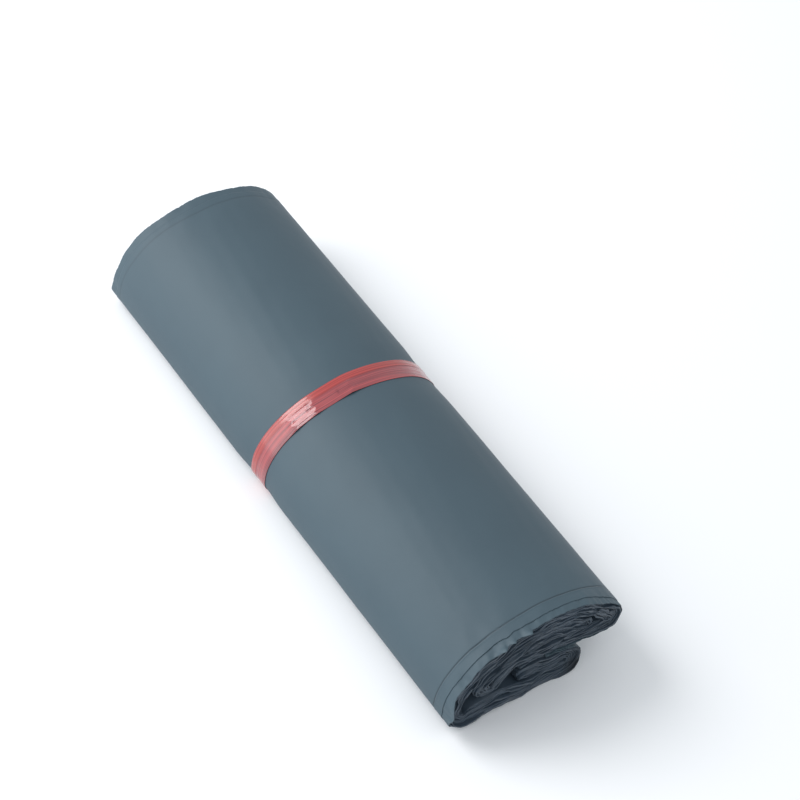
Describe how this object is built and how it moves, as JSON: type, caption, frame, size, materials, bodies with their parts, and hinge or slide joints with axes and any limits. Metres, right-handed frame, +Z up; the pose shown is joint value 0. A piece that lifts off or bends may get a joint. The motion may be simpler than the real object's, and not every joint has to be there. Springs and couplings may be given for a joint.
{
  "type": "roll of poly mailer bags",
  "caption": "Roll of flat grey film mailing bags lying on its flattened side, held round the middle by a narrow red tie strap.",
  "frame": {"origin": "middle of the roll's box, on the surface that it lies on", "axes": "+X along the roll, +Y across it to the side where the folded tail ends, +Z up"},
  "size_m": [0.3, 0.0978, 0.053],
  "materials": {
    "grey_film": "satin blown film, slate grey outside and black inside",
    "red_film": "glossy drawn strapping film, translucent red with lengthwise lines"
  },
  "bodies": {
    "root": {"bag_roll": "grey_film", "tie_strap": "red_film"}
  },
  "joints": []
}
